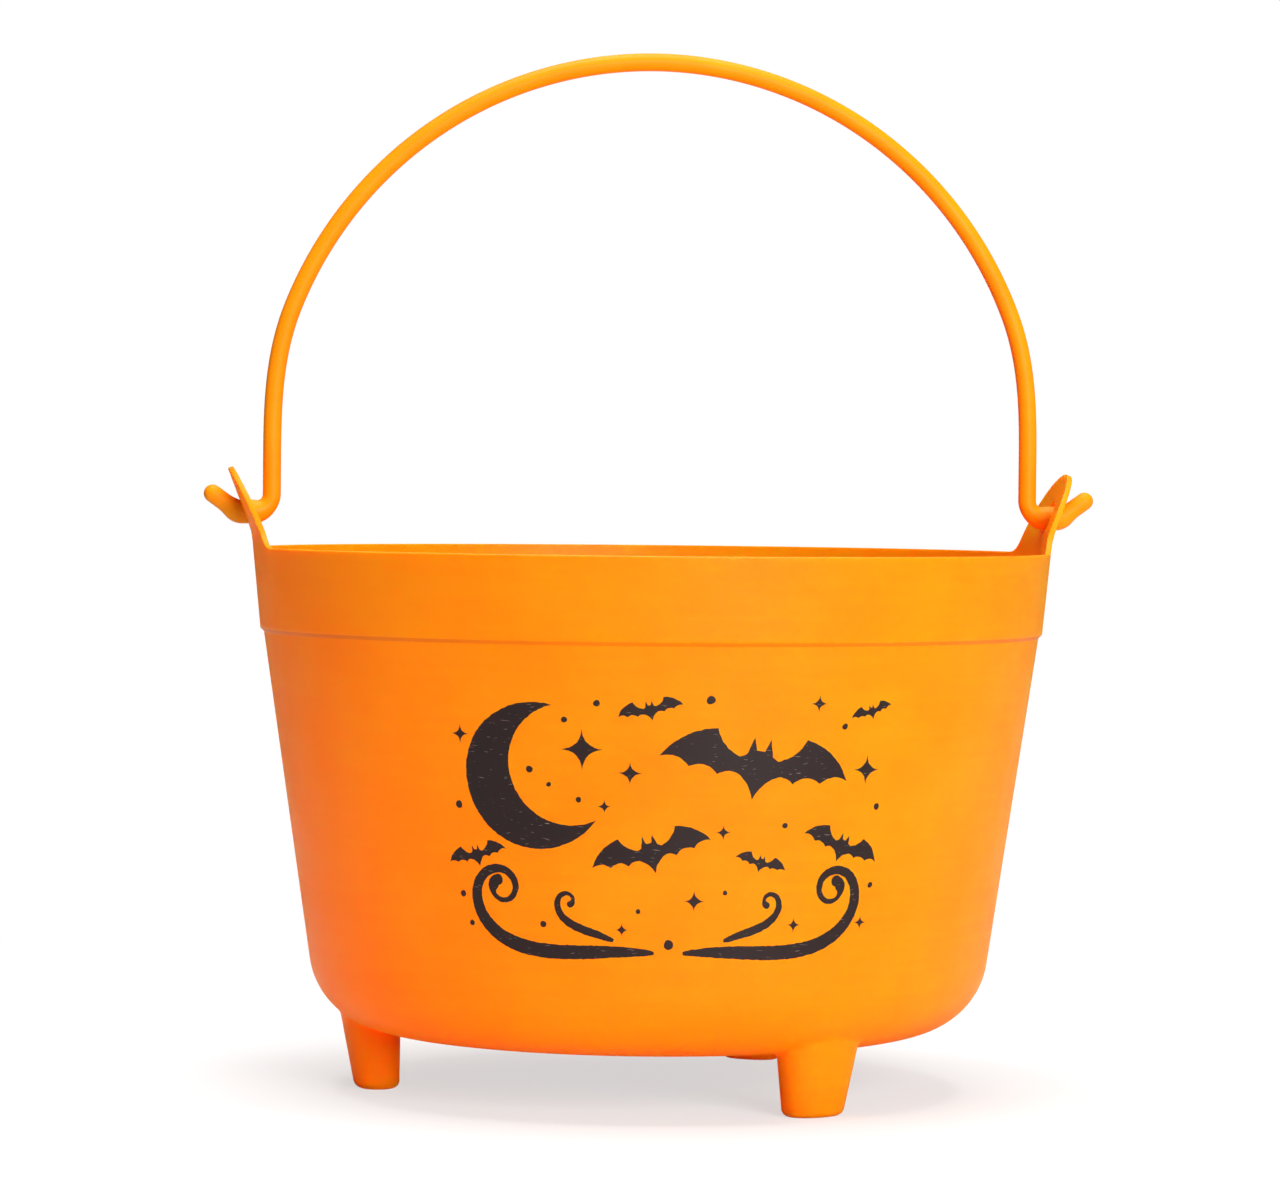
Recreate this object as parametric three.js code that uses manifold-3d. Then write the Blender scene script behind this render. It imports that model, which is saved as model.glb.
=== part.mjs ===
// Witch cauldron pail: a moulded bucket with a raised band, two ears and three hollow feet,
// and a bail handle whose hooked ends swing in the ears.
// Millimetres, +Z up. The origin is on the floor, in the middle of the three feet.
// +X runs through one ear and -X through the other, and a foot stands under the ear at -X.

import * as THREE from 'three'
import { mergeVertices } from 'three/addons/utils/BufferGeometryUtils.js'
import Module from 'manifold-3d'

const wasm = await Module()
wasm.setup()

const degrees = THREE.MathUtils.degToRad

// Bowl. The outside is measured, and the inside follows it at the wall thickness.
const rimRadius = 100
const rimHeight = 135
const wall = 1.4
const bandHeight = 20
const bandDraft = degrees(5.6)
const bandStep = 0.9
const bandStepDrop = 0.6
const wallDraft = degrees(8.4)
const baseThickness = 1.6
const baseCorner = 20

// Feet. Each is a hollow oval post, measured where it stands on the floor.
const footCount = 3
const footHeight = 15.2
const footInnerReach = 62.4
const footDepth = 11.2
const footHalfWidth = 7.8
const footWall = 1.4
const footSoleRound = 1.2
const footOuterDraft = degrees(11.2)
const footInnerDraft = degrees(0.5)
const footSideDraft = degrees(9.3)
const footRoundness = 2.3
const footOverlap = 14

// Ears. Each is a round tab that carries the band on upwards and then leans out.
const earRadius = 18
const earCentreRise = 1.9
const earFillet = 8
const earStraight = 2.5
const earBend = 10
const earLean = degrees(21)
const earHole = 7.4
const pivotRise = 8.9

// Bail handle. Its rod swells at the pivots, and its tails hold it in the ears.
const rodDiameter = 4.5
const bailRise = 113.6
const bailHalfSpan = 97.3
const bailLeg = 15.2
const legDrawIn = 36
const legBend = 4.5
const tailBend = 3.5
const tailSlope = degrees(36)
const tailLength = 6.4
const pivotFade = 5

// Clearances between the bail handle and the ears
const pivotClearance = 0.7
const legClearance = 3.1
const tailClearance = 0.6

// Fineness of the round forms
const bowlSides = 96
const footSides = 32
const rodSides = 16
const cornerSteps = 10
const bendSteps = 4

const plastic = { color: 0xf37d1a, roughness: 0.36, metalness: 0 }

// Turns a closed geometry into a solid that can be joined and cut.
function toSolid(geometry) {
  const bare = geometry.clone()
  bare.deleteAttribute('normal')
  bare.deleteAttribute('uv')
  const merged = mergeVertices(bare)
  const corners = merged.index.array
  const kept = []
  for (let i = 0; i < corners.length; i += 3) {
    const [a, b, c] = corners.slice(i, i + 3)
    if (a !== b && b !== c && c !== a) kept.push(a, b, c)
  }
  const vertProperties = new Float32Array(merged.attributes.position.array)
  return new wasm.Manifold(new wasm.Mesh({ numProp: 3, vertProperties, triVerts: new Uint32Array(kept) }))
}

// Turns a solid back into a geometry.
function toGeometry(body) {
  const { vertProperties, triVerts } = body.getMesh()
  const geometry = new THREE.BufferGeometry()
  geometry.setAttribute('position', new THREE.BufferAttribute(vertProperties, 3))
  geometry.setIndex(new THREE.BufferAttribute(triVerts, 1))
  geometry.computeVertexNormals()
  return geometry
}

// Points on an arc about (x, y), with both ends.
function arc(x, y, radius, from, to, steps) {
  return Array.from({ length: steps + 1 }, (_, i) => {
    const angle = THREE.MathUtils.lerp(from, to, i / steps)
    return new THREE.Vector2(x + radius * Math.cos(angle), y + radius * Math.sin(angle))
  })
}

// Radius of the band's face at a rise above the rim, or below it where the rise is negative.
function bandRadius(rise, inset) {
  return rimRadius + rise * Math.tan(bandDraft) - inset / Math.cos(bandDraft)
}

// Radius of the wall's face at a height below the band.
function wallRadius(height, inset) {
  const top = rimHeight - bandHeight - bandStepDrop
  const topRadius = bandRadius(-bandHeight, 0) - bandStep
  return topRadius - (top - height) * Math.tan(wallDraft) - inset / Math.cos(wallDraft)
}

// Where the ears' face bends outwards: the centre of that bend and its two ends.
const earBendCentre = new THREE.Vector2(
  bandRadius(earStraight, 0) + earBend * Math.cos(bandDraft),
  rimHeight + earStraight - earBend * Math.sin(bandDraft),
)

function earBendArc(inset) {
  const { x, y } = earBendCentre
  return arc(x, y, earBend + inset, Math.PI - bandDraft, Math.PI - earLean, bendSteps)
}

// Radius of the leaning part of an ear's face at a height.
function earRadiusAt(height, inset) {
  const start = earBendArc(inset).at(-1)
  return start.x + (height - start.y) * Math.tan(earLean)
}

const earTop = rimHeight + earCentreRise + earRadius
const pivotHeight = rimHeight + pivotRise

// One face of the bowl as a solid of revolution, from the axis up to above the ears' tips.
function bowlBody(inset) {
  const floor = footHeight + (inset > 0 ? baseThickness : 0)
  const corner = baseCorner - inset
  const cornerTop = floor + corner * (1 - Math.sin(wallDraft))
  const cornerCentre = wallRadius(cornerTop, inset) - corner * Math.cos(wallDraft)
  const wallTop = rimHeight - bandHeight - bandStepDrop
  const top = earTop + earBend + inset
  const profile = [
    new THREE.Vector2(0, floor),
    ...arc(cornerCentre, floor + corner, corner, -Math.PI / 2, -wallDraft, cornerSteps),
    new THREE.Vector2(wallRadius(wallTop, inset), wallTop),
    new THREE.Vector2(bandRadius(-bandHeight, inset), rimHeight - bandHeight),
    new THREE.Vector2(bandRadius(0, inset), rimHeight),
    ...earBendArc(inset),
    new THREE.Vector2(earRadiusAt(top, inset), top),
    new THREE.Vector2(0, top),
  ]
  return toSolid(new THREE.LatheGeometry(profile, bowlSides).rotateX(Math.PI / 2))
}

// What is cut away above the rim, through the whole width: everything but the two ears' outline.
function aboveRim() {
  const reach = 2 * rimRadius
  const filletRise = earFillet - earCentreRise
  const filletOut = Math.sqrt((earRadius + earFillet) ** 2 - filletRise ** 2)
  const filletEnd = Math.atan2(filletRise, filletOut)
  const outline = new THREE.Shape()
  outline.moveTo(-reach, reach)
  outline.lineTo(-reach, 0)
  outline.absarc(-filletOut, earFillet, earFillet, -Math.PI / 2, -filletEnd, false)
  outline.absarc(0, earCentreRise, earRadius, Math.PI - filletEnd, filletEnd, true)
  outline.absarc(filletOut, earFillet, earFillet, Math.PI + filletEnd, 1.5 * Math.PI, false)
  outline.lineTo(reach, 0)
  outline.lineTo(reach, reach)
  const cut = new THREE.ExtrudeGeometry(outline, { depth: 2 * reach, bevelEnabled: false, curveSegments: 12 })
  const axes = new THREE.Matrix4().makeBasis(
    new THREE.Vector3(0, 1, 0),
    new THREE.Vector3(0, 0, 1),
    new THREE.Vector3(1, 0, 0),
  )
  return toSolid(cut.applyMatrix4(axes).translate(-reach, 0, rimHeight))
}

// The holes through both ears, along the pivot axis.
function earHoles() {
  const drill = new THREE.CylinderGeometry(earHole / 2, earHole / 2, 3 * rimRadius, 32)
  return toSolid(drill.rotateZ(Math.PI / 2).translate(0, 0, pivotHeight))
}

// An oval with squarer shoulders than an ellipse.
function oval(halfDepth, halfWidth) {
  const blunt = (value) => Math.sign(value) * Math.abs(value) ** (2 / footRoundness)
  const points = Array.from({ length: footSides }, (_, i) => {
    const angle = 2 * Math.PI * i / footSides
    return new THREE.Vector2(halfDepth * blunt(Math.cos(angle)), halfWidth * blunt(Math.sin(angle)))
  })
  return new THREE.Shape(points)
}

// A foot's post, or with an inset the hollow inside it. It widens upwards by its drafts.
function footBody(inset) {
  const halfDepth = footDepth / 2 - inset
  const halfWidth = footHalfWidth - inset
  const round = Math.min(footSoleRound, halfDepth / 2)
  const height = footHeight + footOverlap - inset
  const post = new THREE.ExtrudeGeometry(oval(halfDepth, halfWidth), {
    depth: height - 2 * round,
    bevelThickness: round,
    bevelSize: round,
    bevelOffset: -round,
    bevelSegments: 3,
  })
  post.translate(0, 0, inset + round)
  const place = post.attributes.position
  for (let i = 0; i < place.count; i += 1) {
    const z = place.getZ(i)
    const inner = footInnerReach + inset - z * Math.tan(footInnerDraft)
    const outer = footInnerReach + footDepth - inset + z * Math.tan(footOuterDraft)
    const widening = 1 + z * Math.tan(footSideDraft) / halfWidth
    const x = (inner + outer) / 2 + place.getX(i) * (outer - inner) / (2 * halfDepth)
    place.setXYZ(i, x, place.getY(i) * widening, z)
  }
  return post
}

// The feet stand evenly round the base, the first under the ear at -X.
function feet(inset) {
  return Array.from({ length: footCount }, (_, i) => {
    const turn = Math.PI + 2 * Math.PI * i / footCount
    return toSolid(footBody(inset).rotateZ(turn))
  })
}

function bucket() {
  let body = bowlBody(0)
  for (const foot of feet(0)) body = body.add(foot)
  body = body.subtract(bowlBody(wall))
  for (const hollow of feet(footWall)) body = body.subtract(hollow)
  return toGeometry(body.subtract(aboveRim()).subtract(earHoles()))
}

// The bail handle's centre line on the +X side, as runs that follow each other from the top
// of the hoop to the end of the tail. Each run has its own number of steps. The legs are
// drawn in a little from the hoop, so that they swing clear of the ears.
const legReach = earRadiusAt(pivotHeight, wall) - legClearance - rodDiameter / 2
const tailStart = earRadiusAt(pivotHeight, 0) + tailClearance

function bailRuns() {
  const quarter = Math.PI / 2
  const legFoot = pivotHeight + legBend
  const legTop = pivotHeight + bailLeg
  const tailFoot = new THREE.Vector2(
    tailStart + tailBend * Math.sin(tailSlope),
    pivotHeight + tailBend * (1 - Math.cos(tailSlope)),
  )
  const along = new THREE.Vector2(Math.cos(tailSlope), Math.sin(tailSlope))
  const line = (a, b) => (s) => new THREE.Vector2().lerpVectors(a, b, s)
  const turn = (x, z, radius, from, to) => (s) => {
    const angle = THREE.MathUtils.lerp(from, to, s)
    return new THREE.Vector2(x + radius * Math.cos(angle), z + radius * Math.sin(angle))
  }
  const hoop = (s) => {
    const angle = quarter * (1 - s)
    const rise = (bailRise - bailLeg) * Math.sin(angle)
    const drawnIn = (bailHalfSpan - legReach) * (1 - THREE.MathUtils.smoothstep(rise, 0, legDrawIn))
    return new THREE.Vector2(bailHalfSpan * Math.cos(angle) - drawnIn, legTop + rise)
  }
  const tailTip = tailFoot.clone().addScaledVector(along, tailLength)
  const roundTip = (s) => tailTip.clone().addScaledVector(along, rodDiameter / 2 * Math.sin(0.9 * quarter * s))
  return [
    { steps: 24, at: hoop },
    { steps: 3, at: line(new THREE.Vector2(legReach, legTop), new THREE.Vector2(legReach, legFoot)) },
    { steps: 7, at: turn(legReach + legBend, legFoot, legBend, Math.PI, Math.PI + quarter) },
    {
      steps: 2,
      at: line(new THREE.Vector2(legReach + legBend, pivotHeight), new THREE.Vector2(tailStart, pivotHeight)),
    },
    { steps: 4, at: turn(tailStart, pivotHeight + tailBend, tailBend, -quarter, tailSlope - quarter) },
    { steps: 4, at: line(tailFoot, tailTip) },
    { steps: 4, at: roundTip },
  ]
}

// The whole centre line, from the tail at -X over the top to the tail at +X.
class BailCurve extends THREE.Curve {
  constructor(runs) {
    super()
    this.runs = runs
    this.halfSteps = runs.reduce((sum, run) => sum + run.steps, 0)
  }

  getPoint(t, target = new THREE.Vector3()) {
    let step = Math.abs(2 * t - 1) * this.halfSteps
    let i = 0
    while (i < this.runs.length - 1 && step > this.runs[i].steps) {
      step -= this.runs[i].steps
      i += 1
    }
    const point = this.runs[i].at(step / this.runs[i].steps)
    return target.set(t < 0.5 ? -point.x : point.x, 0, point.y)
  }

  // Steps are shared out run by run, so tight bends get as many as they need.
  getUtoTmapping(u) {
    return u
  }
}

// Half the rod's thickness at a point: it swells to fill the ear's hole and rounds off at the tips.
function rodRadius(point) {
  const plain = rodDiameter / 2
  const pivotRadius = earHole / 2 - pivotClearance
  const pivotMiddle = (earRadiusAt(pivotHeight, 0) + earRadiusAt(pivotHeight, wall)) / 2
  const away = Math.hypot(Math.abs(point.x) - pivotMiddle, point.z - pivotHeight)
  const swell = 1 - THREE.MathUtils.smoothstep(away, wall, wall + pivotFade)
  return plain + (pivotRadius - plain) * swell
}

function bail() {
  const path = new BailCurve(bailRuns())
  const section = new THREE.Shape().absarc(0, 0, 1, 0, 2 * Math.PI)
  const steps = 2 * path.halfSteps
  const rod = new THREE.ExtrudeGeometry(section, { steps, extrudePath: path, curveSegments: rodSides / 2 })
  const centres = path.getSpacedPoints(steps)
  const tip = bailRuns().at(-1)
  const place = rod.attributes.position
  const corner = new THREE.Vector3()
  for (let i = 0; i < place.count; i += 1) {
    corner.fromBufferAttribute(place, i)
    const gaps = centres.map((centre) => centre.distanceTo(corner))
    const ring = gaps.indexOf(Math.min(...gaps))
    const stepsLeft = Math.min(ring, steps - ring)
    const tipTurn = stepsLeft < tip.steps ? 0.45 * Math.PI * (1 - stepsLeft / tip.steps) : 0
    const radius = rodRadius(centres[ring]) * Math.cos(tipTurn)
    corner.sub(centres[ring]).setLength(radius).add(centres[ring])
    place.setXYZ(i, corner.x, corner.y, corner.z)
  }
  return toGeometry(toSolid(rod))
}

const group = new THREE.Group()

for (const [name, geometry] of [['bucket', bucket()], ['bail_handle', bail()]]) {
  const mesh = new THREE.Mesh(geometry, new THREE.MeshStandardMaterial(plastic))
  mesh.name = name
  group.add(mesh)
}

export default group
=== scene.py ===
# %% [markdown]
# # A witch cauldron pail in orange plastic
# The real thing is made of two injection mouldings in orange polypropylene. The bucket has its
# raised band, two ears and three hollow feet in one piece, and the bail handle is a round rod
# whose hooked ends sit in the ears. A dark ornament is screen-printed on the front. This lesson
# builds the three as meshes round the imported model, which stays the fixed frame for places and
# motion. Measures are written in millimetres and turned into metres where a mesh is finished.

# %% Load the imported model
import math

import bmesh
import bpy
from mathutils import Matrix, Vector, noise


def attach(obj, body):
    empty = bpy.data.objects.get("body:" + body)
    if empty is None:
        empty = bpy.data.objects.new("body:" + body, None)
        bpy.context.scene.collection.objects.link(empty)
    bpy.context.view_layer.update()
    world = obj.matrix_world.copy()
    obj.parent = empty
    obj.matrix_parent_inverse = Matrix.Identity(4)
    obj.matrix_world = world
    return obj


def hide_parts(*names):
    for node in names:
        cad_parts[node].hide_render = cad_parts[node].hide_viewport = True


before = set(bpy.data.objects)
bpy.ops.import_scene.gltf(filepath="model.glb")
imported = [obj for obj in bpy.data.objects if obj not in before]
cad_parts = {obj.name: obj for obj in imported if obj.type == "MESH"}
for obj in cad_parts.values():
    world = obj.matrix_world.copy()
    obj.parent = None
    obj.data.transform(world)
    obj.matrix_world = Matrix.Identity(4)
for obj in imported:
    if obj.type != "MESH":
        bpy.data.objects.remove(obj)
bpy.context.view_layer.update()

MM = 0.001


# %% [markdown]
# ## Camera
# The photograph was taken from a little above the rim through a long lens. The viewpoint was worked
# out from the outline of the bucket: 1.23 m from the bucket's axis, 6 degrees round to one
# side, with almost no tilt. The lens is given for a sensor 36 mm wide.

# %% Place the camera
CAMERA_DISTANCE = 1.2308
CAMERA_HEIGHT = 0.15238
CAMERA_TURN = math.radians(-5.95)
CAMERA_LENS = 137.64
CAMERA_SENSOR = 36.0
CAMERA_PITCH = math.radians(1.262)
CAMERA_YAW = math.radians(-0.135)
CAMERA_ROLL = math.radians(0.549)


def camera_axes():
    """The camera's right, up and forward directions, worked out round the object's axis."""
    forward = Vector((
        math.sin(CAMERA_YAW) * math.cos(CAMERA_PITCH),
        math.cos(CAMERA_YAW) * math.cos(CAMERA_PITCH),
        -math.sin(CAMERA_PITCH),
    ))
    level = Vector((math.cos(CAMERA_YAW), -math.sin(CAMERA_YAW), 0))
    upright = level.cross(forward)
    right = math.cos(CAMERA_ROLL) * level + math.sin(CAMERA_ROLL) * upright
    up = math.cos(CAMERA_ROLL) * upright - math.sin(CAMERA_ROLL) * level
    turn = Matrix.Rotation(CAMERA_TURN, 3, "Z")
    return turn @ right, turn @ up, turn @ forward


def place_camera():
    right, up, forward = camera_axes()
    camera = bpy.data.objects.new("camera", bpy.data.cameras.new("camera"))
    bpy.context.scene.collection.objects.link(camera)
    camera.data.sensor_width = CAMERA_SENSOR
    camera.data.lens = CAMERA_LENS
    camera.data.clip_start, camera.data.clip_end = 0.05, 60
    place = Matrix((right, up, -forward)).transposed().to_4x4()
    place.translation = Matrix.Rotation(CAMERA_TURN, 3, "Z") @ Vector((0, -CAMERA_DISTANCE, CAMERA_HEIGHT))
    camera.matrix_world = place
    bpy.context.scene.camera = camera
    return camera


camera = place_camera()
print("camera at", tuple(round(value, 4) for value in camera.matrix_world.translation))


# %% [markdown]
# ## Colours and nodes
# Colours are read off as sRGB hex values, but Blender mixes light with linear values, so one
# function turns the one into the other. Another small function adds a shader node with its
# settings and links, which keeps each material short.

# %% Helpers for colours and nodes
def linear(hex_colour):
    """An sRGB hex colour as linear RGBA."""
    channels = [int(hex_colour[i:i + 2], 16) / 255 for i in (1, 3, 5)]
    return [c / 12.92 if c <= 0.04045 else ((c + 0.055) / 1.055) ** 2.4 for c in channels] + [1.0]


def add_node(tree, kind, settings=None, values=None, links=None):
    """A new node. Settings are its own options, values its sockets, and links come into its sockets."""
    node = tree.nodes.new(kind)
    for name, setting in (settings or {}).items():
        setattr(node, name, setting)
    for socket, value in (values or {}).items():
        node.inputs[socket].default_value = value
    for socket, source in (links or {}).items():
        tree.links.new(source, node.inputs[socket])
    return node


def new_material(name):
    """A material with an empty node tree, and its output node."""
    material = bpy.data.materials.new(name)
    material.use_nodes = True
    material.node_tree.nodes.clear()
    return material, material.node_tree, add_node(material.node_tree, "ShaderNodeOutputMaterial")


print("mid grey turned linear:", [round(value, 3) for value in linear("#808080")])

# %% [markdown]
# ## Floor, background and light
# The pail stands in front of pure white. The floor is a pale sheet that keeps a soft shadow, and
# fades into white with distance. Its back is clear, so that the underside can be looked at. The
# world is white only where the camera sees it. It lights the object gently, and is almost dark
# in a gloss, so that the satin plastic keeps its deep colour at the edges. One large soft lamp
# stands to the right of the camera. A second one hangs above the open bucket and a weak third
# one shines from behind: their light falls into the bowl and comes out through the wall on the
# shadow side, as red.

# %% Make the floor and the background
FLOOR_WHITE = "#FFFFFF"
FLOOR_PALE = "#C8C8C8"
FLOOR_HALF = 8.0
SHADOW_CORE = 0.1
SHADOW_REACH = 0.42
SHADOW_LIFT = 0.62


def make_floor():
    bm = bmesh.new()
    bmesh.ops.create_grid(bm, x_segments=1, y_segments=1, size=FLOOR_HALF)
    mesh = bpy.data.meshes.new("floor")
    bm.to_mesh(mesh)
    bm.free()
    floor = bpy.data.objects.new("floor", mesh)
    bpy.context.scene.collection.objects.link(floor)
    material, tree, output = new_material("pale_studio_floor")
    place = add_node(tree, "ShaderNodeTexCoord")
    away = add_node(tree, "ShaderNodeVectorMath", {"operation": "LENGTH"}, links={0: place.outputs["Object"]})
    fade = add_node(
        tree, "ShaderNodeMapRange", {"interpolation_type": "SMOOTHSTEP"},
        {"From Min": SHADOW_CORE, "From Max": SHADOW_REACH, "To Min": SHADOW_LIFT, "To Max": 1.0},
        {"Value": away.outputs["Value"]},
    )
    path = add_node(tree, "ShaderNodeLightPath")
    seen = add_node(
        tree, "ShaderNodeMath", {"operation": "MULTIPLY"},
        links={0: path.outputs["Is Camera Ray"], 1: fade.outputs["Result"]},
    )
    tone = add_node(
        tree, "ShaderNodeMix", {"data_type": "RGBA"}, {6: linear(FLOOR_PALE), 7: linear(FLOOR_WHITE)},
        {0: path.outputs["Is Camera Ray"]},
    )
    sheet = add_node(tree, "ShaderNodeBsdfDiffuse", links={"Color": tone.outputs[2]})
    white = add_node(tree, "ShaderNodeEmission", values={"Color": linear(FLOOR_WHITE), "Strength": 1.0})
    mix = add_node(
        tree, "ShaderNodeMixShader", links={0: seen.outputs[0], 1: sheet.outputs[0], 2: white.outputs[0]},
    )
    side = add_node(tree, "ShaderNodeNewGeometry")
    clear = add_node(tree, "ShaderNodeBsdfTransparent")
    one_sided = add_node(
        tree, "ShaderNodeMixShader",
        links={0: side.outputs["Backfacing"], 1: mix.outputs[0], 2: clear.outputs[0]},
    )
    tree.links.new(one_sided.outputs[0], output.inputs["Surface"])
    floor.data.materials.append(material)
    return floor


AMBIENT = 0.12
GLOSS_BACKGROUND = 0.04


def make_background(tree, strength):
    return add_node(
        tree, "ShaderNodeBackground", values={"Color": linear(FLOOR_WHITE), "Strength": strength},
    )


def make_world():
    world = bpy.data.worlds.new("white_studio")
    bpy.context.scene.world = world
    world.use_nodes = True
    tree = world.node_tree
    tree.nodes.clear()
    output = add_node(tree, "ShaderNodeOutputWorld")
    path = add_node(tree, "ShaderNodeLightPath")
    glossy = add_node(
        tree, "ShaderNodeMath", {"operation": "MAXIMUM"},
        links={0: path.outputs["Is Glossy Ray"], 1: path.outputs["Is Transmission Ray"]},
    )
    soft, shiny, white = (make_background(tree, strength) for strength in (AMBIENT, GLOSS_BACKGROUND, 1.0))
    lit = add_node(
        tree, "ShaderNodeMixShader", links={0: glossy.outputs[0], 1: soft.outputs[0], 2: shiny.outputs[0]},
    )
    seen = add_node(
        tree, "ShaderNodeMixShader",
        links={0: path.outputs["Is Camera Ray"], 1: lit.outputs[0], 2: white.outputs[0]},
    )
    tree.links.new(seen.outputs[0], output.inputs["Surface"])


make_floor()
make_world()
bpy.context.scene.view_settings.view_transform = "Standard"
print("floor and world made")

# %% Hang the lamps
CAMERA_AZIMUTH = math.degrees(CAMERA_TURN)
LAMP_SIZE = 0.9
LAMP_TARGET = Vector((0, 0, 0.1))


def soft_lamp(name, turn, rise, distance, watts):
    """A square soft lamp. Its turn is counted from the camera's direction, to the right."""
    azimuth = math.radians(CAMERA_AZIMUTH + turn)
    elevation = math.radians(rise)
    away = Vector((
        math.sin(azimuth) * math.cos(elevation),
        -math.cos(azimuth) * math.cos(elevation),
        math.sin(elevation),
    ))
    lamp = bpy.data.objects.new(name, bpy.data.lights.new(name, "AREA"))
    bpy.context.scene.collection.objects.link(lamp)
    lamp.data.shape = "RECTANGLE"
    lamp.data.size = lamp.data.size_y = LAMP_SIZE
    lamp.data.energy = watts
    spot = LAMP_TARGET + away * distance
    lamp.matrix_world = Matrix.Translation(spot) @ (-away).to_track_quat("-Z", "Y").to_matrix().to_4x4()


soft_lamp("key_lamp", 26, 14, 1.9, 36)
soft_lamp("top_lamp", 0, 88, 1.3, 23)
soft_lamp("back_lamp", 180, 40, 1.9, 4)

# %% [markdown]
# ## Orange polypropylene
# Polypropylene with orange pigment is a satin plastic that is never quite opaque. Red light
# wanders through the thin wall and comes out on the shadow side, while green and blue are stopped
# by the pigment, so the shadows glow red and the lit side looks yellow. Subsurface scattering
# with a long red radius and a short green one gives just that, where a plain diffuse colour
# would turn brown. The rod and the wall's cut edges are too narrow to show the glow, and
# scattering would only make them grainy, so they get the same plastic without it. In the crease
# under the band little light comes in, and that shade is painted there: the crease's faces get a
# deeper orange copy of the plastic. The mould leaves a fine satin grain and faint flow lines,
# which run round the pail. Both are finer on the real one and are drawn as coarse as they need
# to show.

# %% Mix the orange plastic
PLASTIC_ORANGE = "#FF9408"
PLASTIC_DEEPER = "#FF8C06"
# The crease's darker orange paints the shade under the band. It is not a colour of the plastic.
PAINTED_SHADE_ORANGE = "#F47A04"
PAINTED_SHADE_DEEPER = "#F07404"
PAINTED_SHADE_SLOT = 2
RED_TRAVEL = 14.0
GREEN_TRAVEL = 0.35
BLUE_TRAVEL = 0.12
PLASTIC_IOR = 1.49
PLASTIC_GLOSS = 0.09
SATIN_FINEST, SATIN_DULLEST = 0.38, 0.47
FLOW_LENGTH, FLOW_PITCH = 33.3, 2.38
GRAIN_SIZE = 1.4
CLOUD_SIZE = 22.0
RELIEF_DEPTH = 0.01


def orange_polypropylene(name, scatter, relief_strength, orange=PLASTIC_ORANGE, deeper=PLASTIC_DEEPER):
    """Scatter is 1 where light wanders through the plastic, and 0 where it doesn't."""
    material, tree, output = new_material(name)
    place = add_node(tree, "ShaderNodeTexCoord")
    lines = add_node(
        tree, "ShaderNodeMapping",
        values={"Scale": (1 / (FLOW_LENGTH * MM), 1 / (FLOW_LENGTH * MM), 1 / (FLOW_PITCH * MM))},
        links={"Vector": place.outputs["Object"]},
    )
    flow = add_node(
        tree, "ShaderNodeTexNoise", values={"Scale": 1.0, "Detail": 3.0, "Roughness": 0.55},
        links={"Vector": lines.outputs[0]},
    )
    grain = add_node(
        tree, "ShaderNodeTexNoise", values={"Scale": 1 / (GRAIN_SIZE * MM), "Detail": 1.0},
        links={"Vector": place.outputs["Object"]},
    )
    cloud = add_node(
        tree, "ShaderNodeTexNoise", values={"Scale": 1 / (CLOUD_SIZE * MM), "Detail": 2.0},
        links={"Vector": place.outputs["Object"]},
    )
    blend = add_node(
        tree, "ShaderNodeMath", {"operation": "MULTIPLY_ADD"}, {1: 0.5},
        {0: flow.outputs["Fac"], 2: cloud.outputs["Fac"]},
    )
    share = add_node(
        tree, "ShaderNodeMapRange", values={"From Min": 0.55, "From Max": 0.95},
        links={"Value": blend.outputs[0]},
    )
    colour = add_node(
        tree, "ShaderNodeMix", {"data_type": "RGBA"},
        {6: linear(orange), 7: linear(deeper)}, {0: share.outputs["Result"]},
    )
    satin = add_node(
        tree, "ShaderNodeMapRange",
        values={"From Min": 0.3, "From Max": 0.7, "To Min": SATIN_FINEST, "To Max": SATIN_DULLEST},
        links={"Value": cloud.outputs["Fac"]},
    )
    relief = add_node(
        tree, "ShaderNodeMath", {"operation": "MULTIPLY_ADD"}, {1: 0.35},
        {0: flow.outputs["Fac"], 2: grain.outputs["Fac"]},
    )
    bump = add_node(
        tree, "ShaderNodeBump", values={"Strength": relief_strength, "Distance": RELIEF_DEPTH * MM},
        links={"Height": relief.outputs[0]},
    )
    plastic = add_node(
        tree, "ShaderNodeBsdfPrincipled", {"subsurface_method": "RANDOM_WALK"},
        {
            "IOR": PLASTIC_IOR, "Metallic": 0.0, "Specular IOR Level": PLASTIC_GLOSS,
            "Subsurface Weight": scatter, "Subsurface Scale": MM,
            "Subsurface Radius": (RED_TRAVEL, GREEN_TRAVEL, BLUE_TRAVEL),
        },
        {
            "Base Color": colour.outputs[2], "Roughness": satin.outputs["Result"],
            "Normal": bump.outputs["Normal"],
        },
    )
    tree.links.new(plastic.outputs[0], output.inputs["Surface"])
    return material


thin_plastic = orange_polypropylene("orange_polypropylene_thin", 1.0, 0.3)
thick_plastic = orange_polypropylene("orange_polypropylene_thick", 0.0, 0.03)
# A darker copy of the plastic that paints the shade in the crease under the band.
painted_shade_plastic = orange_polypropylene("orange_polypropylene_painted_shade", 0.0, 0.03, PAINTED_SHADE_ORANGE, PAINTED_SHADE_DEEPER)
print("materials", [plastic.name for plastic in (thin_plastic, thick_plastic, painted_shade_plastic)])

# %% [markdown]
# ## The bucket's outside
# The bucket is a body of revolution with a few places where it isn't: the ears and the feet.
# A lathe gives the round part, and here that is a row of points spun round the axis. The points
# run from the flat base round the corner, up the tapering wall, over the step and up the band.
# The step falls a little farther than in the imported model, so that its line shows. Each row and
# column of the spun grid is known, so the ears and feet can be worked into it.

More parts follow.
